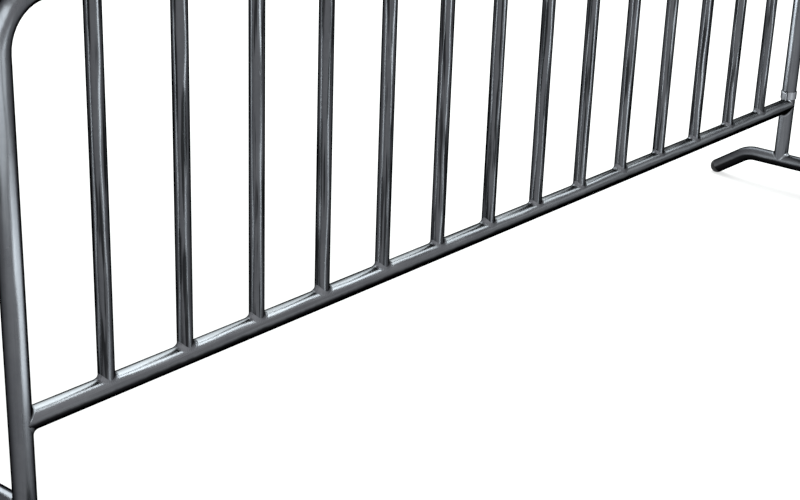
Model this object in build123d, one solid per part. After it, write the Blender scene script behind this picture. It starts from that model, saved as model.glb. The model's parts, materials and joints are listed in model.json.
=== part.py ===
from build123d import *
import os

# Steel crowd-control barrier: a bent tube frame with a straight lower rail, upright infill
# tubes and two crosswise feet, with hooks at the left end and eyes at the right end.
# Millimetres. X runs along the barrier, Y from its front to its back, Z up from the ground.
# The origin is on the ground, under the middle of the barrier.

# Tubes and rods
FRAME_D = 38.0
FRAME_WALL = 1.5
BAR_D = 28.0
BAR_WALL = 1.2
HOOK_D = 12.0

# Plan of the barrier
BAY = 170.0
BAR_COUNT = 14
RAIL_Z = 234.0
TOP_RISE = 660.0
CORNER_R = 88.0

# Crosswise feet, bent down at both ends
FOOT_Z = 78.0
FOOT_CORNER_Y = 97.0
FOOT_FALL = 34.0
FOOT_BEND_R = 75.0
FOOT_LIP = 2.0

# Rounded caps in the ends of the feet
CAP_RIM = 5.0
CAP_DOME = 15.0
CAP_PLUG = 20.0
CAP_PLAY = 0.15

# Collar on the right upright, with a lug that stands on the end of the rail
COLLAR_WALL = 2.0
COLLAR_HEIGHT = 21.0
COLLAR_EDGE = 0.8
LUG_REACH = 9.0
LUG_WIDTH = 14.0
LUG_EDGE = 3.0

# Hooks and eyes that couple one barrier to the next
LOWER_COUPLING_RISE = 385.0
UPPER_COUPLING_RISE = 535.0
EYE_BORE_D = 20.0
EYE_WALL = 5.0
EYE_HEIGHT = 25.0
EYE_SEAT = 1.5
HOOK_BEND_R = 14.0
HOOK_TIP_BELOW_EYE = 20.0
HOOK_TIP_EDGE = 2.0

# Weld beads, by the radius of their hollow face
RAIL_WELD_ABOVE = 6.0
RAIL_WELD_BELOW = 11.0
FOOT_WELD = 7.0
HOOK_WELD = 3.0
EYE_WELD = 4.0
WELD_SHARE = 0.65
WELD_TIP = 0.5
WELD_STUB = 60.0

frame_r = FRAME_D / 2
hook_r = HOOK_D / 2
end_x = BAY * (BAR_COUNT + 1) / 2
top_z = RAIL_Z + TOP_RISE
eye_r = EYE_BORE_D / 2 + EYE_WALL
eye_reach = frame_r + eye_r - EYE_SEAT
hook_reach = eye_reach + eye_r - hook_r


def rod(start, end, radius):
    """A round bar between two points."""
    path = Line(start, end)
    return sweep(Plane(path @ 0, z_dir=path % 0) * Circle(radius), path=path)


def tube_along(path, diameter, wall):
    """A hollow tube that follows a path."""
    ring = Circle(diameter / 2) - Circle(diameter / 2 - wall)
    return sweep(Plane(path @ 0, z_dir=path % 0) * ring, path=path)


def upright_space(side):
    """The round bar of space that one upright fills, over its straight height."""
    x = side * end_x
    return rod((x, 0, FOOT_Z), (x, 0, top_z - CORNER_R), frame_r)


def foot_space(side):
    """The space that the straight middle of one foot fills."""
    x = side * end_x
    return rod((x, -FRAME_D, FOOT_Z), (x, FRAME_D, FOOT_Z), frame_r)


def rail_space(z):
    """The space that a rail at height z fills, from upright to upright."""
    return rod((-end_x, 0, z), (end_x, 0, z), frame_r)


def frame_tube():
    """One tube bent into both uprights and the top rail, saddle-cut onto the feet."""
    corners = [
        (-end_x, 0, FOOT_Z),
        (-end_x, 0, top_z),
        (end_x, 0, top_z),
        (end_x, 0, FOOT_Z),
    ]
    tube = tube_along(FilletPolyline(*corners, radius=CORNER_R), FRAME_D, FRAME_WALL)
    return tube - foot_space(-1) - foot_space(1)


def bottom_rail():
    """The straight lower rail, saddle-cut between the uprights."""
    tube = tube_along(Line((-end_x, 0, RAIL_Z), (end_x, 0, RAIL_Z)), FRAME_D, FRAME_WALL)
    return tube - upright_space(-1) - upright_space(1)


def infill_bar(x):
    """One upright infill tube, saddle-cut onto the lower and the top rail."""
    tube = tube_along(Line((x, 0, RAIL_Z), (x, 0, top_z)), BAR_D, BAR_WALL)
    return tube - rail_space(RAIL_Z) - rail_space(top_z)


def foot_end():
    """Where the tube of a foot ends on the back side, and the way it points there."""
    way = Vector(0, 1, 0).rotate(Axis.X, -FOOT_FALL)
    end_z = FOOT_LIP + frame_r * way.Y
    run = (FOOT_Z - end_z) / -way.Z
    return Vector(0, FOOT_CORNER_Y, FOOT_Z) + way * run, way


def foot(side):
    """One crosswise foot: a straight middle under the upright, both ends bent down."""
    end, _ = foot_end()
    x = side * end_x
    corners = [
        (x, -end.Y, end.Z),
        (x, -FOOT_CORNER_Y, FOOT_Z),
        (x, FOOT_CORNER_Y, FOOT_Z),
        (x, end.Y, end.Z),
    ]
    return tube_along(FilletPolyline(*corners, radius=FOOT_BEND_R), FRAME_D, FRAME_WALL)


def foot_cap(side, face):
    """A domed cap plugged into one end of a foot, worn flat where it stands."""
    end, way = foot_end()
    plug_r = frame_r - FRAME_WALL - CAP_PLAY
    outline = Polyline(
        (0, -CAP_PLUG),
        (plug_r, -CAP_PLUG),
        (plug_r, 0),
        (frame_r, 0),
        (frame_r, CAP_RIM),
    )
    crown = (0, CAP_RIM + CAP_DOME)
    dome = TangentArc(crown, (frame_r, CAP_RIM), tangent=(1, 0))
    axis_line = Line(crown, (0, -CAP_PLUG))
    profile = make_face(outline + dome + axis_line)
    cap = revolve(profile, Axis.Y)
    placed = Plane(end, x_dir=(1, 0, 0), z_dir=Vector(1, 0, 0).cross(way)) * cap
    ground = Pos(0, end.Y, -FRAME_D) * Box(FRAME_D * 2, FRAME_D * 4, FRAME_D * 2)
    standing = placed - ground
    if face < 0:
        standing = standing.mirror(Plane.XZ)
    return Pos(side * end_x, 0, 0) * standing


def upright_stub():
    """A short length of upright at the origin, to work out a weld on."""
    return rod((0, 0, -WELD_STUB), (0, 0, WELD_STUB), frame_r)


def tee_weld(part, radius):
    """The bead above (1) or below (-1) a tube that runs to +X from an upright."""
    upright = upright_stub()
    branch = rod((0, 0, 0), (WELD_STUB, 0, 0), frame_r)
    seams = (upright + branch).edges().filter_by(GeomType.ELLIPSE)
    seams = [seam for seam in seams if seam.center().Z * part > 0]
    bead = fillet(seams, min(radius, WELD_SHARE * frame_r)) - upright - branch
    clear_of_tips = Box(WELD_STUB, FRAME_D - 2 * WELD_TIP, WELD_STUB)
    return bead & Pos(WELD_STUB / 2, 0, part * WELD_STUB / 2) * clear_of_tips


def rail_joint_weld(side):
    """The beads above and below the lower rail, where it meets one upright."""
    beads = tee_weld(1, RAIL_WELD_ABOVE) + tee_weld(-1, RAIL_WELD_BELOW)
    return Pos(side * end_x, 0, RAIL_Z) * Rot(0, 0, 90 + side * 90) * beads


def foot_joint_weld(side):
    """The beads in front of and behind one upright, where it stands on its foot."""
    turned = Rot(0, 0, 90) * Rot(0, -90, 0)
    beads = turned * (tee_weld(1, FOOT_WELD) + tee_weld(-1, FOOT_WELD))
    return Pos(side * end_x, 0, FOOT_Z) * beads


def collar():
    """A thin ring round the right upright, with a lug that stands on the end of the rail."""
    ring = Cylinder(frame_r + COLLAR_WALL, COLLAR_HEIGHT)
    ring = chamfer(ring.edges().filter_by(GeomType.CIRCLE), COLLAR_EDGE)
    ring = Pos(end_x, 0, RAIL_Z + frame_r + COLLAR_HEIGHT / 2) * ring
    towards_rail = (Align.MAX, Align.CENTER, Align.MIN)
    lug = Box(frame_r + LUG_REACH, LUG_WIDTH, frame_r + COLLAR_HEIGHT, align=towards_rail)
    outer_edges = lug.faces().sort_by(Axis.X)[0].edges().sort_by(Axis.Z)
    lug = Pos(end_x, 0, RAIL_Z) * fillet(outer_edges[1:], LUG_EDGE)
    return ring + lug - upright_space(1) - rail_space(RAIL_Z) - rail_joint_weld(1)


def eye(rise):
    """A thick ring welded to the outer side of the right upright."""
    ring = Cylinder(eye_r, EYE_HEIGHT) - Cylinder(EYE_BORE_D / 2, EYE_HEIGHT)
    return Pos(end_x + eye_reach, 0, RAIL_Z + rise) * ring - upright_space(1)


def hook(rise):
    """A bent rod on the left upright whose pin drops into the next barrier's eye."""
    eye_top = RAIL_Z + rise + EYE_HEIGHT / 2
    arm_z = eye_top + hook_r
    tip_z = eye_top - EYE_HEIGHT - HOOK_TIP_BELOW_EYE
    pin_x = -end_x - hook_reach
    corners = [(-end_x - hook_r, 0, arm_z), (pin_x, 0, arm_z), (pin_x, 0, tip_z)]
    path = FilletPolyline(*corners, radius=HOOK_BEND_R)
    bent = sweep(Plane(path @ 0, z_dir=path % 0) * Circle(hook_r), path=path)
    tip = bent.faces().sort_by(Axis.Z)[0]
    bent = chamfer(tip.edges(), HOOK_TIP_EDGE)
    return bent - upright_space(-1)


def hook_weld(rise):
    """The bead all round the arm of one hook, where it meets the left upright."""
    upright = upright_stub()
    arm = rod((0, 0, 0), (-WELD_STUB, 0, 0), hook_r)
    plain_edges = (GeomType.LINE, GeomType.CIRCLE)
    seams = [edge for edge in (upright + arm).edges() if edge.geom_type not in plain_edges]
    bead = fillet(seams, HOOK_WELD) - upright - arm
    return Pos(-end_x, 0, RAIL_Z + rise + EYE_HEIGHT / 2 + hook_r) * bead


def eye_weld(rise):
    """The two upright beads that hold one eye, in front and behind."""
    upright = upright_stub()
    ring = Pos(eye_reach, 0, 0) * (Cylinder(eye_r, EYE_HEIGHT) - Cylinder(EYE_BORE_D / 2, EYE_HEIGHT))
    crossing = (frame_r**2 - eye_r**2 + eye_reach**2) / (2 * eye_reach)
    lines = (upright + ring).edges().filter_by(GeomType.LINE)
    seams = [line for line in lines if abs(line.center().X - crossing) < EYE_SEAT]
    beads = fillet(seams, EYE_WELD) - upright - ring
    return Pos(end_x, 0, RAIL_Z + rise) * beads


def bar_x(number):
    """The place of an infill bar, counted from the left upright."""
    return -end_x + number * BAY


def save(name, shape):
    """Write one sub-part."""
    export_step(shape, "parts/" + name + ".step")


os.makedirs("parts", exist_ok=True)
save("frame_tube", frame_tube())
save("bottom_rail", bottom_rail())
for number in range(1, BAR_COUNT + 1):
    save("infill_bar_%02d" % number, infill_bar(bar_x(number)))
for end_name, side in (("left", -1), ("right", 1)):
    save(end_name + "_foot", foot(side))
    for face_name, face in (("front", -1), ("back", 1)):
        save(end_name + "_foot_cap_" + face_name, foot_cap(side, face))
    save(end_name + "_foot_welds", foot_joint_weld(side))
    save(end_name + "_rail_welds", rail_joint_weld(side))
save("collar", collar())
for level, rise in (("lower", LOWER_COUPLING_RISE), ("upper", UPPER_COUPLING_RISE)):
    save(level + "_hook", hook(rise))
    save(level + "_hook_weld", hook_weld(rise))
    save(level + "_eye", eye(rise))
    save(level + "_eye_welds", eye_weld(rise))
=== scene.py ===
import json
import math
import random
import bpy
from mathutils import Matrix, Vector


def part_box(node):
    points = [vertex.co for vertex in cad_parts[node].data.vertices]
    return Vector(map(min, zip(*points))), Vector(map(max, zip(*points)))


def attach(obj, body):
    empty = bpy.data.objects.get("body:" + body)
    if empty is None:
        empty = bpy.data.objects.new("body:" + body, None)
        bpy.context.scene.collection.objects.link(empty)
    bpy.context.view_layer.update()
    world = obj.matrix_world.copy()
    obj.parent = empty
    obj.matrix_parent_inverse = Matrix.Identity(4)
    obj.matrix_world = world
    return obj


# Dresses the steel crowd-control barrier: galvanised finishes, weld beads, floor, lights and camera.
# Metres. X runs along the barrier, Y from its front to its back, Z up from the ground.

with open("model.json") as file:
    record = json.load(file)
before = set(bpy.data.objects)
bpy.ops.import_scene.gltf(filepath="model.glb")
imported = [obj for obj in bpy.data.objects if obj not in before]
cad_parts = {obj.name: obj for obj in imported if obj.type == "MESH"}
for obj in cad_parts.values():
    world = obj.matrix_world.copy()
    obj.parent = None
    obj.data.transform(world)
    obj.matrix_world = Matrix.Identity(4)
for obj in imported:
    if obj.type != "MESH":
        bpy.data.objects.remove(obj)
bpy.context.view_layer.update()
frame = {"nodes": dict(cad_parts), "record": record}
scene = bpy.context.scene

# Camera at the drawing's viewpoint: its heading from +Y towards +X, how far it looks down, and its roll
CAMERA_PLACE = Vector((-2.5478, -1.7641, 1.3535))
CAMERA_HEADING = math.radians(50.97)
CAMERA_DOWN = math.radians(21.206)
CAMERA_ROLL = math.radians(2.10)
# Its focal length and sensor width in millimetres, and how far it sees
CAMERA_LENS = 69.74
CAMERA_SENSOR = 36.0
CAMERA_REACH = 120.0

# Soft light from all round, and the cool white of the lamps
WHITE = (1.0, 1.0, 1.0, 1.0)
FILL_LIGHT = 0.45
LAMP_COLOUR = (0.93, 1.0, 0.98)

# Floor, and the share of its real shading that the camera sees
FLOOR_SIZE = 60.0
FLOOR_COLOUR = (0.82, 0.82, 0.82, 1.0)
FLOOR_ROUGH = 0.9
FLOOR_SHADOW = 0.30

# Flare that a bar's weld makes, up the bar and out along the rail, and how far it bites into both
WELD_UP = 0.0085
WELD_OUT = 0.0085
WELD_BITE = 0.0010
# Rows of faces from the bar to the rail, and faces round the bar
WELD_ROWS = 8
WELD_SIDES = 96
# How much smaller the flare is at the sides of the rail, where the corner is wide open
WELD_SIDE_UP = 0.55
WELD_SIDE_OUT = 0.70
# Ripples round each bead, and how the beads differ
WELD_RIPPLES = 24
WELD_RIPPLE_HEIGHT = 0.00025
WELD_SIZE_SPREAD = 0.14
WELD_LEAN_SPREAD = 0.18

# Zinc tones, from dull to bright, and those laid over them: dark streak marks, partly of the mill and
# partly painted dark reflections, dust, and near-black painted shade under the level tubes
ZINC_DULL = (0.50, 0.52, 0.56, 1.0)
ZINC_BRIGHT = (0.68, 0.70, 0.73, 1.0)
STREAK_AND_REFLECTION_TONE = (0.08, 0.085, 0.09, 1.0)
DUST_TONE = (0.50, 0.50, 0.49, 1.0)
UNDERSIDE_SHADE_TONE = (0.02, 0.02, 0.022, 1.0)
# Shares of the clouds, crystals and drawn lines in the tone between dull and bright
CLOUD_TONE = 0.50
CRYSTAL_TONE = 0.18
LINE_TONE = 0.32
# How much of the zinc dust, splashes and the painted shade under tubes cover, and how much metal a splash
# hides
DUST_COVER = 0.35
SPLASH_COVER = 0.35
UNDERSIDE_SHADE_COVER = 0.94
SPLASH_METAL = 0.35
# What the clouds, lines and splashes add to the roughness, and what scratches take off it
CLOUD_ROUGH = 0.06
LINE_ROUGH = 0.07
SPLASH_ROUGH = 0.22
SCRATCH_GLOSS = 0.08
# Bump of the drawn lines, and how deep scratches and how high crystals are in shares of it
GRAIN_BUMP = 0.35
GRAIN_DEPTH = 0.0002
SCRATCH_DEPTH = 0.60
CRYSTAL_HEIGHT = 0.15
# Turns the brushed gloss so that it runs along the tube
QUARTER_TURN = 0.25

# Zinc goes to black where it is seen at a low slant
EDGE_TONE = (0.0, 0.0, 0.0, 1.0)
# The dark film over it has no gloss of its own, and lets a little more blue through
FILM_IOR = 1.0
FILM_BLUE = 1.04

# Scales per metre along each axis, for a tube that runs along X, Y or Z
GRAIN_SCALES = {"X": (14.0, 900.0, 900.0), "Y": (900.0, 14.0, 900.0), "Z": (900.0, 900.0, 14.0)}
STREAK_AND_REFLECTION_SCALES = {"X": (3.5, 110.0, 110.0), "Y": (110.0, 5.0, 110.0), "Z": (165.0, 165.0, 5.5)}
WAVE_SCALES = {"X": (6.0, 26.0, 26.0), "Y": (26.0, 8.0, 26.0), "Z": (26.0, 26.0, 5.0)}
SCRATCH_SCALES = {"X": (30.0, 190.0, 190.0), "Y": (190.0, 30.0, 190.0), "Z": (190.0, 190.0, 30.0)}

# How far a face looks up, from -1 to 1, where the painted shade under a tube and the dust start and where
# they are full
UNDERSIDE_SHADE_START = 0.16
UNDERSIDE_SHADE_FULL = -0.12
DUST_START = 0.80
DUST_FULL = 1.10
# Keeps the painted shade off an upright tube, whose faces look neither up nor down
UNSHADED_SIDE = 0.40
# Height, in shares of the splash height, where splashes start and where they are full
SPLASH_START = 1.25
SPLASH_FULL = 0.45
# How far patches of noise shift the painted shade and the dust, and how far they lower the splashes
PATCH_DRIFT = 0.20
PATCH_FALL = 0.90
# The middle of a noise, which goes from 0 to 1
NOISE_MIDDLE = 0.5
# How near to the noise's middle a scratch starts and is full, which sets its width
SCRATCH_EDGE = 0.012
SCRATCH_CORE = 0.002

# Plastic tones of the end caps, and how far up from the ground and how much they are worn
CAP_BLACK = (0.006, 0.006, 0.007, 1.0)
CAP_GREY = (0.016, 0.016, 0.017, 1.0)
CAP_WORN = (0.09, 0.088, 0.085, 1.0)
CAP_WORN_HEIGHT = 0.012
CAP_WEAR = 0.5
# Their roughness and what mottling adds to it, their shine, and their mould grain
CAP_ROUGH = 0.5
CAP_MOTTLE_ROUGH = 0.2
CAP_SHINE = 0.2
CAP_BUMP = 0.4
CAP_GRAIN_DEPTH = 0.0002

# What the vector inputs of a node group hold until they are joined
ORIGIN = (0.0, 0.0, 0.0)
UNSTRETCHED = (1.0, 1.0, 1.0)
# A Mix node's sockets for colours: its share and two colours, and its result
MIX_INPUTS = (0, 6, 7)
MIX_RESULT = 2


def middle(node):
    """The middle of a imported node's box."""
    low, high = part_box(node)
    return (low + high) / 2


def half_height(node):
    """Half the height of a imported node's box, the radius of a level tube."""
    low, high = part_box(node)
    return (high.z - low.z) / 2


def half_width(node):
    """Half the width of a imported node's box along X, the radius of an upright tube."""
    low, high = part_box(node)
    return (high.x - low.x) / 2


# The tubes as packed
RAIL_R = half_height("bottom_rail")
BAR_R = half_width("infill_bar_01")
RAIL_Z = middle("bottom_rail").z
TOP_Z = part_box("frame_tube")[1].z - RAIL_R
BAR_NODES = sorted(name for name in frame["nodes"] if name.startswith("infill_bar"))


# Node helpers
def feed(tree, value, socket):
    """Sets an input socket to a plain value, or links another socket to it."""
    if isinstance(value, bpy.types.NodeSocket):
        tree.links.new(value, socket)
    elif value is not None:
        socket.default_value = value


def fit(tree, node, **values):
    """Sets or links a node's inputs, or sets its properties, by name."""
    for name, value in values.items():
        plain = name.replace("_", " ")
        if plain in node.inputs:
            feed(tree, value, node.inputs[plain])
        else:
            setattr(node, name, value)
    return node


def place(tree, kind, **values):
    """A new node of a kind, fitted with the given values."""
    return fit(tree, tree.nodes.new(kind), **values)


def use(tree, effect, **values):
    """A placed copy of a node group, fitted with the given values."""
    return place(tree, "ShaderNodeGroup", node_tree=effect, **values)


def maths(tree, operation, first, second=None):
    """The result of one sum on sockets or numbers."""
    node = place(tree, "ShaderNodeMath", operation=operation)
    feed(tree, first, node.inputs[0])
    feed(tree, second, node.inputs[1])
    return node.outputs[0]


def with_share(tree, total, value, share):
    """A total with a share of another value added to it."""
    return maths(tree, "ADD", total, maths(tree, "MULTIPLY", value, share))


def ramp(tree, value, low, high):
    """A value that goes smoothly from 0 to 1 while another goes from low to high."""
    node = place(tree, "ShaderNodeMapRange", interpolation_type="SMOOTHSTEP",
                 Value=value, From_Min=low, From_Max=high)
    return node.outputs["Result"]


def blend(tree, share, first, second):
    """A colour between two colours."""
    node = place(tree, "ShaderNodeMix", data_type="RGBA")
    for value, number in zip((share, first, second), MIX_INPUTS):
        feed(tree, value, node.inputs[number])
    return node.outputs[MIX_RESULT]


def covered(tree, colour, cover, where, share):
    """A colour with another laid over it where a mask says, up to a share."""
    return blend(tree, maths(tree, "MULTIPLY", where, share), colour, cover)


def noise(tree, vector, scale=1.0, detail=2.0, rough=0.5):
    """Soft noise on a vector, from 0 to 1."""
    node = place(tree, "ShaderNodeTexNoise", Vector=vector, Scale=scale, Detail=detail, Roughness=rough)
    return node.outputs["Fac"]


def stretched(tree, vector, scale):
    """A vector scaled by another along each axis."""
    node = place(tree, "ShaderNodeVectorMath", operation="MULTIPLY")
    feed(tree, vector, node.inputs[0])
    feed(tree, scale, node.inputs[1])
    return node.outputs[0]


def upward(tree, vector):
    """The part of a vector that points up."""
    return place(tree, "ShaderNodeSeparateXYZ", Vector=vector).outputs["Z"]


def mixed(tree, share, first, second):
    """A shader between two shaders."""
    node = place(tree, "ShaderNodeMixShader")
    for value, socket in zip((share, first, second), node.inputs):
        feed(tree, value, socket)
    return node.outputs[0]


def blank_material(name):
    """A material with only its Principled shader and output."""
    material = bpy.data.materials.new(name)
    material.use_nodes = True
    return material, material.node_tree, material.node_tree.nodes["Principled BSDF"]


# Camera, background, floor and lights
def set_camera():
    """The camera, where the drawing was seen from."""
    bpy.ops.object.camera_add()
    camera = bpy.context.object
    camera.name = "camera"
    camera.data.lens = CAMERA_LENS
    camera.data.sensor_width = CAMERA_SENSOR
    camera.data.clip_end = CAMERA_REACH
    turn = Matrix.Rotation(-CAMERA_HEADING, 4, "Z")
    turn = turn @ Matrix.Rotation(math.pi / 2 - CAMERA_DOWN, 4, "X")
    turn = turn @ Matrix.Rotation(CAMERA_ROLL, 4, "Z")
    camera.matrix_world = Matrix.Translation(CAMERA_PLACE) @ turn
    scene.camera = camera


def white_to_the_eye(tree, shader, white, surface):
    """Shows white to camera, mirror and glass rays, and the given shader to the rest."""
    path = place(tree, "ShaderNodeLightPath").outputs
    seen = maths(tree, "MAXIMUM", path["Is Camera Ray"], path["Is Glossy Ray"])
    seen = maths(tree, "MAXIMUM", seen, path["Is Transmission Ray"])
    feed(tree, mixed(tree, seen, shader, white), surface)


def set_world():
    """Soft light from all round, in front of a white background."""
    world = bpy.data.worlds.new("white studio")
    world.use_nodes = True
    scene.world = world
    tree = world.node_tree
    tree.nodes.clear()
    fill = place(tree, "ShaderNodeBackground", Color=WHITE, Strength=FILL_LIGHT)
    white = place(tree, "ShaderNodeBackground", Color=WHITE, Strength=1.0)
    output = place(tree, "ShaderNodeOutputWorld")
    white_to_the_eye(tree, fill.outputs[0], white.outputs[0], output.inputs["Surface"])


def set_floor():
    """A pale floor that looks white, with part of the shadow kept."""
    bpy.ops.mesh.primitive_plane_add(size=FLOOR_SIZE)
    floor = bpy.context.object
    floor.name = "floor"
    material, tree, shader = blank_material("floor")
    fit(tree, shader, Base_Color=FLOOR_COLOUR, Roughness=FLOOR_ROUGH, Specular_IOR_Level=0.0)
    glow = place(tree, "ShaderNodeEmission", Color=WHITE, Strength=1.0)
    pale = mixed(tree, FLOOR_SHADOW, glow.outputs[0], shader.outputs[0])
    white_to_the_eye(tree, shader.outputs[0], pale, tree.nodes["Material Output"].inputs["Surface"])
    floor.data.materials.append(material)


def softbox(name, at, towards, width, height, radiance):
    """A rectangular soft light, unseen by the camera. Its radiance is that of its face."""
    bpy.ops.object.light_add(type="AREA")
    lamp = bpy.context.object
    lamp.name = name
    lamp.data.shape = "RECTANGLE"
    lamp.data.color = LAMP_COLOUR
    lamp.data.size = width
    lamp.data.size_y = height
    lamp.data.energy = radiance * math.pi * width * height
    lamp.visible_camera = False
    way = Vector(towards) - Vector(at)
    turn = way.to_track_quat("-Z", "Y").to_matrix().to_4x4()
    lamp.matrix_world = Matrix.Translation(Vector(at)) @ turn
    return lamp


def light_only(lamps, nodes):
    """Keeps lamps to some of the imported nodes, as a studio's flags do."""
    lit = bpy.data.collections.new("lit by " + lamps[0].name)
    for name in nodes:
        lit.objects.link(frame["nodes"][name])
    for lamp in lamps:
        lamp.light_linking.receiver_collection = lit


def set_lights():
    """One large panel for everything, and smaller lamps that are kept to some of the pieces.

    Left and right are as the camera sees them.
    """
    # The bright tops of the level tubes, and most of the floor's light
    softbox("far panel", at=(2.84, 1.90, 4.31), towards=(-0.83, 0.98, 1.04),
            width=7.6, height=3.8, radiance=10.0)
    # Bright lines down the right and left sides of the infill tubes
    front = softbox("front strip", at=(0.45, -4.6, 1.2), towards=(0.0, 0.0, 0.3),
                    width=0.40, height=2.4, radiance=70.0)
    left = softbox("left strip", at=(-5.0, 1.3, 1.2), towards=(0.0, 0.0, 0.3),
                   width=0.30, height=2.4, radiance=50.0)
    # The right side of the near upright, and the left side of the far one
    near = softbox("near panel", at=(-0.92, -0.58, 0.16), towards=(-1.27, 0.0, 0.69),
                   width=0.70, height=0.42, radiance=8.0)
    back = softbox("back panel", at=(-0.06, 1.49, 0.25), towards=(1.27, 0.0, 0.5),
                   width=1.1, height=1.0, radiance=17.0)
    # The top of the near foot
    foot = softbox("foot panel", at=(-0.60, 1.85, 1.75), towards=(-1.275, 0.0, 0.08),
                   width=1.6, height=1.6, radiance=34.0)
    # The pale band down the near upright
    low = softbox("low panel", at=(-1.91, -0.58, 0.57), towards=(-1.275, 0.0, 0.78),
                  width=0.94, height=0.38, radiance=3.7)
    # The outside of the corner above it
    high = softbox("high panel", at=(-2.45, -0.35, 1.55), towards=(-1.25, 0.0, 0.87),
                   width=1.7, height=1.5, radiance=4.4)
    # Right of the near upright's middle, close to its upper end
    side = softbox("side panel", at=(-1.19, -0.90, 0.64), towards=(-1.275, 0.0, 0.82),
                   width=0.45, height=0.22, radiance=5.0)
    light_only([near, back, low, high, side], ["frame_tube"])
    light_only([foot], ["left_foot"])
    # The front of the lower rail's far half
    end = softbox("end panel", at=(3.90, -1.45, 0.85), towards=(1.0, 0.0, 0.23),
                  width=2.2, height=1.0, radiance=2.2)
    light_only([end], ["bottom_rail"])
    others = [name for name in frame["nodes"] if name not in ("frame_tube", "bottom_rail")]
    light_only([front, left], others)


# Effects that the finishes share
def group(name, takes, gives):
    """A node group that gives numbers, with the sockets that bring values in and out inside it."""
    tree = bpy.data.node_groups.new(name, "ShaderNodeTree")
    for socket, value in takes.items():
        kind = "NodeSocketFloat" if isinstance(value, float) else "NodeSocketVector"
        made = tree.interface.new_socket(name=socket, in_out="INPUT", socket_type=kind)
        made.default_value = value
    for socket in gives:
        tree.interface.new_socket(name=socket, in_out="OUTPUT", socket_type="NodeSocketFloat")
    return tree, tree.nodes.new("NodeGroupInput").outputs, tree.nodes.new("NodeGroupOutput").inputs


def drawn_grain():
    """Fine lines and dark streak marks along a drawn tube, partly painted dark reflections, and long soft
    waves that bend its highlights.
    """
    takes = {
        "Vector": ORIGIN,
        "Grain Scale": UNSTRETCHED,
        "Streak Scale": UNSTRETCHED,
        "Wave Scale": UNSTRETCHED,
    }
    tree, inside, out = group("drawn grain", takes, ("Lines", "Streaks", "Waves"))
    fine = stretched(tree, inside["Vector"], inside["Grain Scale"])
    broad = stretched(tree, inside["Vector"], inside["Streak Scale"])
    wide = stretched(tree, inside["Vector"], inside["Wave Scale"])
    streaks_and_reflections = noise(tree, broad, detail=3.0, rough=0.45)
    feed(tree, noise(tree, fine, detail=3.0, rough=0.6), out["Lines"])
    # The streak mask: partly mill streak marks, partly painted dark reflections
    feed(tree, ramp(tree, streaks_and_reflections, low=0.50, high=0.60), out["Streaks"])
    feed(tree, noise(tree, wide, detail=1.0, rough=0.4), out["Waves"])
    return tree


def zinc_bloom():
    """The uneven tone of a zinc coat: broad clouds, and faint crystals under a centimetre wide."""
    takes = {
        "Vector": ORIGIN,
        "Cloud Scale": 9.0,
        "Crystal Scale": 130.0,
    }
    tree, inside, out = group("zinc bloom", takes, ("Cloud", "Crystal"))
    clouds = noise(tree, inside["Vector"], inside["Cloud Scale"], detail=4.0, rough=0.55)
    cells = place(tree, "ShaderNodeTexVoronoi", Vector=inside["Vector"], Scale=inside["Crystal Scale"])
    tone = place(tree, "ShaderNodeSeparateColor", Color=cells.outputs["Color"])
    feed(tree, ramp(tree, clouds, low=0.3, high=0.7), out["Cloud"])
    feed(tree, tone.outputs["Red"], out["Crystal"])
    return tree


def weather_and_shade():
    """Where dust, splashes and painted shade go: shade under a tube, dust on its top, splashes near the
    ground.
    """
    takes = {
        "Vector": ORIGIN,
        "Clean Side": 0.0,
        "Splash Height": 0.12,
    }
    tree, inside, out = group("weather_and_shade", takes, ("Underside_Shade", "Dust", "Splash"))
    normal = place(tree, "ShaderNodeNewGeometry").outputs["Normal"]
    patches = noise(tree, inside["Vector"], scale=40.0, detail=4.0, rough=0.6)
    drift = maths(tree, "MULTIPLY", maths(tree, "SUBTRACT", patches, NOISE_MIDDLE), PATCH_DRIFT)
    rising = maths(tree, "ADD", upward(tree, normal), drift)
    shaded = maths(tree, "ADD", rising, inside["Clean Side"])
    level = maths(tree, "DIVIDE", upward(tree, inside["Vector"]), inside["Splash Height"])
    level = with_share(tree, level, patches, PATCH_FALL)
    # Painted shade: faces that look down, under the level tubes, are marked to go near black
    feed(tree, ramp(tree, shaded, UNDERSIDE_SHADE_START, UNDERSIDE_SHADE_FULL), out["Underside_Shade"])
    feed(tree, ramp(tree, rising, DUST_START, DUST_FULL), out["Dust"])
    feed(tree, ramp(tree, level, SPLASH_START, SPLASH_FULL), out["Splash"])
    return tree


def scuffs():
    """Thin scratches that catch the light, gathered in patches."""
    takes = {
        "Vector": ORIGIN,
        "Scale": UNSTRETCHED,
    }
    tree, inside, out = group("scuffs", takes, ("Scratch",))
    line = noise(tree, stretched(tree, inside["Vector"], inside["Scale"]), detail=1.0)
    away = maths(tree, "ABSOLUTE", maths(tree, "SUBTRACT", line, NOISE_MIDDLE))
    thin = ramp(tree, away, SCRATCH_EDGE, SCRATCH_CORE)
    where = ramp(tree, noise(tree, inside["Vector"], scale=22.0), low=0.56, high=0.66)
    feed(tree, maths(tree, "MULTIPLY", thin, where), out["Scratch"])
    return tree


GRAIN = drawn_grain()
BLOOM = zinc_bloom()
WEATHER_AND_SHADE = weather_and_shade()
SCUFFS = scuffs()


# Finishes
def zinc_masks(tree, run):
    """What the four effects give on a tube that runs along one axis, by name."""
    here = place(tree, "ShaderNodeTexCoord").outputs["Object"]
    # Upright tubes get none of the painted shade
    unshaded_side = UNSHADED_SIDE if run == "Z" else 0.0
    effects = (
        use(tree, GRAIN, Vector=here, Grain_Scale=GRAIN_SCALES[run],
            Streak_Scale=STREAK_AND_REFLECTION_SCALES[run], Wave_Scale=WAVE_SCALES[run]),
        use(tree, BLOOM, Vector=here),
        use(tree, WEATHER_AND_SHADE, Vector=here, Clean_Side=unshaded_side),
        use(tree, SCUFFS, Vector=here, Scale=SCRATCH_SCALES[run]),
    )
    return {socket.name: socket for effect in effects for socket in effect.outputs}


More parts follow.
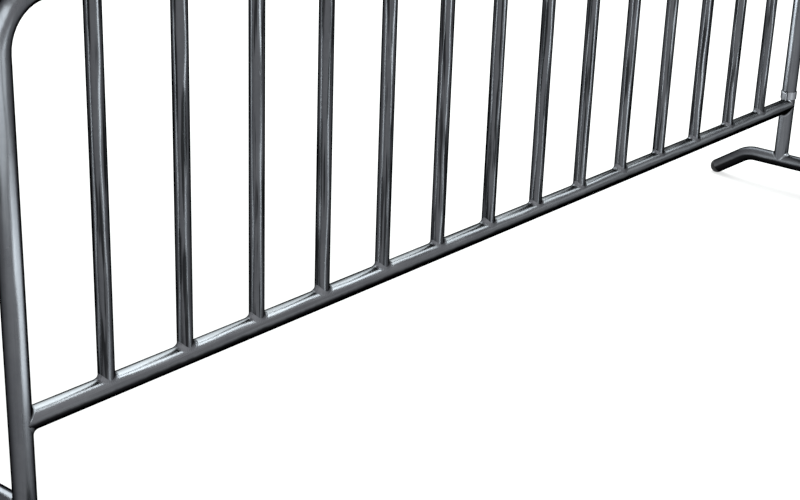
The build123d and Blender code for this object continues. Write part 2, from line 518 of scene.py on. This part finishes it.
def zinc_colour(tree, masks, bright, streak_and_reflection_share):
    """The uneven tone of the zinc, with dark streak marks that are partly painted reflections, dust,
    splashes, and painted shade under tubes laid over it.
    """
    tone = maths(tree, "MULTIPLY", masks["Cloud"], CLOUD_TONE)
    tone = with_share(tree, tone, masks["Crystal"], CRYSTAL_TONE)
    tone = with_share(tree, tone, masks["Lines"], LINE_TONE)
    tone = maths(tree, "ADD", tone, bright)
    colour = blend(tree, tone, ZINC_DULL, ZINC_BRIGHT)
    # Dark streak marks, partly real mill streaks and partly painted dark reflections
    colour = covered(tree, colour, STREAK_AND_REFLECTION_TONE, masks["Streaks"], streak_and_reflection_share)
    colour = covered(tree, colour, DUST_TONE, masks["Dust"], DUST_COVER)
    colour = covered(tree, colour, DUST_TONE, masks["Splash"], SPLASH_COVER)
    # Painted shade: near black laid over the undersides of the level tubes
    return covered(tree, colour, UNDERSIDE_SHADE_TONE, masks["Underside_Shade"], UNDERSIDE_SHADE_COVER)


def zinc_roughness(tree, masks, rough):
    """A roughness that is the given one in full cloud, and changes with lines, splashes and scratches."""
    value = with_share(tree, rough - CLOUD_ROUGH, masks["Cloud"], CLOUD_ROUGH)
    value = with_share(tree, value, masks["Lines"], LINE_ROUGH)
    value = with_share(tree, value, masks["Splash"], SPLASH_ROUGH)
    return with_share(tree, value, masks["Scratch"], -SCRATCH_GLOSS)


def zinc_normal(tree, masks, wave):
    """Long waves of a given height, with the drawn lines, scratches and crystals on them."""
    waves = place(tree, "ShaderNodeBump", Strength=1.0, Distance=wave, Height=masks["Waves"])
    height = with_share(tree, masks["Lines"], masks["Scratch"], -SCRATCH_DEPTH)
    height = with_share(tree, height, masks["Crystal"], CRYSTAL_HEIGHT)
    fine = place(tree, "ShaderNodeBump", Strength=GRAIN_BUMP, Distance=GRAIN_DEPTH,
                 Height=height, Normal=waves.outputs[0])
    return fine.outputs[0]


def zinc(name, run, rough, film, tint, wave=0.006, bright=0.0, brushed=0.0, streak_and_reflection_share=0.18):
    """Galvanised steel whose grain runs along one axis, under a thin dark film.

    film is the film's share, and tint the share of the light that it lets through.
    """
    material, tree, shader = blank_material(name)
    masks = zinc_masks(tree, run)
    fit(tree, shader,
        Base_Color=zinc_colour(tree, masks, bright, streak_and_reflection_share),
        Roughness=zinc_roughness(tree, masks, rough),
        Metallic=with_share(tree, 1.0, masks["Splash"], -SPLASH_METAL),
        Normal=zinc_normal(tree, masks, wave),
        Specular_Tint=EDGE_TONE,
        Anisotropic=brushed,
        Anisotropic_Rotation=QUARTER_TURN if brushed else 0.0,
        Coat_Weight=film,
        Coat_IOR=FILM_IOR,
        Coat_Tint=(tint, tint, tint * FILM_BLUE, 1.0))
    return material


def cap_plastic(name):
    """Black moulded plastic with a fine mould grain, scuffed where it stands."""
    material, tree, shader = blank_material(name)
    here = place(tree, "ShaderNodeTexCoord").outputs["Object"]
    worn = use(tree, WEATHER_AND_SHADE, Vector=here, Splash_Height=CAP_WORN_HEIGHT).outputs["Splash"]
    mottle = noise(tree, here, scale=60.0, detail=3.0, rough=0.6)
    colour = blend(tree, mottle, CAP_BLACK, CAP_GREY)
    pebbles = noise(tree, here, scale=2200.0)
    bump = place(tree, "ShaderNodeBump", Strength=CAP_BUMP, Distance=CAP_GRAIN_DEPTH, Height=pebbles)
    fit(tree, shader,
        Base_Color=covered(tree, colour, CAP_WORN, worn, CAP_WEAR),
        Roughness=with_share(tree, CAP_ROUGH, mottle, CAP_MOTTLE_ROUGH),
        Specular_IOR_Level=CAP_SHINE,
        Normal=bump.outputs[0])
    return material


FINISHES = {
    "frame": zinc("galvanised_frame", "Z", rough=0.30, film=1.0, tint=0.21, streak_and_reflection_share=0.10),
    "rail": zinc("galvanised_rail", "X", rough=0.26, film=0.91, tint=0.22),
    # The bars carry most of the painted dark reflections in their streak marks
    "bar": zinc("galvanised_bar", "Z", rough=0.34, film=1.0, tint=0.18, wave=0.010, brushed=0.85,
                streak_and_reflection_share=0.90),
    "foot": zinc("galvanised_foot", "Y", rough=0.30, film=1.0, tint=0.17),
    "galvanised_fitting": zinc("galvanised_fitting", "Z", rough=0.30, film=0.90, tint=0.34, bright=0.1,
                               streak_and_reflection_share=0.0),
    "galvanised_weld": zinc("galvanised_weld", "Z", rough=0.40, film=0.94, tint=0.25, bright=0.1,
                            streak_and_reflection_share=0.0),
    "end_cap": cap_plastic("end_cap"),
}


def finish_of(node, slot):
    """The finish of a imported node: its slot's own, or for a tube the one for the way it runs."""
    if slot != "galvanised_tube":
        return FINISHES[slot]
    for part in ("foot", "rail", "bar"):
        if part in node:
            return FINISHES[part]
    return FINISHES["frame"]


def dress_nodes():
    """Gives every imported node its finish."""
    slots = {part["node"]: part["material_slot"] for part in frame["record"]["subparts"]}
    for name, node in frame["nodes"].items():
        finish = finish_of(name, slots[name])
        if not node.material_slots:
            node.data.materials.append(finish)
        for material_slot in node.material_slots:
            material_slot.material = finish


# Welds at the ends of the infill tubes
def ring_of_weld():
    """A round flare of weld about a bar on flat ground: hollow outside, closed inside the tubes."""
    bpy.ops.object.select_all(action="DESELECT")
    inner = BAR_R - WELD_BITE
    bpy.ops.mesh.primitive_circle_add(vertices=WELD_SIDES, radius=inner, location=(0, 0, WELD_UP))
    ring = bpy.context.object
    bpy.ops.object.transform_apply(location=True)
    bpy.ops.object.mode_set(mode="EDIT")
    bpy.ops.mesh.select_all(action="SELECT")
    radius, height = inner, WELD_UP
    profile = [(BAR_R, WELD_UP)]
    for row in range(1, WELD_ROWS + 1):
        turn = math.pi / 2 * row / WELD_ROWS
        out = BAR_R + WELD_OUT * (1 - math.cos(turn))
        profile.append((out, WELD_UP * (1 - math.sin(turn))))
    profile.append((BAR_R + WELD_OUT, -WELD_BITE))
    profile.append((inner, -WELD_BITE))
    for next_radius, next_height in profile:
        step = (0, 0, next_height - height)
        bpy.ops.mesh.extrude_region_move(TRANSFORM_OT_translate={"value": step})
        spread = next_radius / radius
        bpy.ops.transform.resize(value=(spread, spread, 1), center_override=(0, 0, 0))
        radius, height = next_radius, next_height
    bpy.ops.mesh.select_all(action="DESELECT")
    bpy.ops.mesh.select_non_manifold()
    bpy.ops.mesh.bridge_edge_loops()
    bpy.ops.mesh.select_all(action="SELECT")
    bpy.ops.mesh.normals_make_consistent(inside=False)
    bpy.ops.object.mode_set(mode="OBJECT")
    return ring


def seat_weld(bead, size, lean, start):
    """Fits a round flare onto a rail's saddle, with its own size, lean along the rail and ripples."""
    for vertex in bead.data.vertices:
        x, y, z = vertex.co
        radius = math.hypot(x, y)
        side = (y / radius) ** 2
        along = x / radius
        turn = math.atan2(y, x)
        out = max(radius - BAR_R, 0.0) / WELD_OUT
        leg = size * (1 + lean * along)
        # The last factors are 1 half-way out and 0 at both edges of the bead
        ripple = WELD_RIPPLE_HEIGHT * math.cos(WELD_RIPPLES * turn + start) * out * (1 - out) * 4
        radius = min(radius, BAR_R) + out * WELD_OUT * leg * (1 - WELD_SIDE_OUT * side) + ripple
        x, y = radius * math.cos(turn), radius * math.sin(turn)
        drop = RAIL_R - math.sqrt(RAIL_R**2 - y**2)
        z = z * leg * (1 - WELD_SIDE_UP * side) if z > 0 else z
        vertex.co = (x, y, z + ripple - drop)


def bar_welds(name, at_z, upside_down):
    """The welds of all bars on one rail, as one piece."""
    pattern = ring_of_weld()
    draw = random.Random(name)
    beads = []
    for bar in BAR_NODES:
        bead = pattern.copy()
        bead.data = pattern.data.copy()
        scene.collection.objects.link(bead)
        size = 1 + draw.uniform(-1, 1) * WELD_SIZE_SPREAD
        lean = draw.uniform(-1, 1) * WELD_LEAN_SPREAD
        seat_weld(bead, size, lean, draw.uniform(0, 2 * math.pi))
        turn = Matrix.Rotation(math.pi if upside_down else 0.0, 4, "X")
        bead.data.transform(Matrix.Translation((middle(bar).x, 0, at_z)) @ turn)
        beads.append(bead)
    bpy.data.objects.remove(pattern)
    bpy.ops.object.select_all(action="DESELECT")
    for bead in beads:
        bead.select_set(True)
    bpy.context.view_layer.objects.active = beads[0]
    bpy.ops.object.join()
    welds = bpy.context.object
    welds.name = name
    bpy.ops.object.shade_smooth()
    welds.data.materials.append(FINISHES["galvanised_weld"])
    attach(welds, "root")


set_camera()
set_world()
set_floor()
set_lights()
dress_nodes()
bar_welds("lower_bar_welds", at_z=RAIL_Z + RAIL_R, upside_down=False)
bar_welds("upper_bar_welds", at_z=TOP_Z - RAIL_R, upside_down=True)
scene.view_settings.view_transform = "Standard"
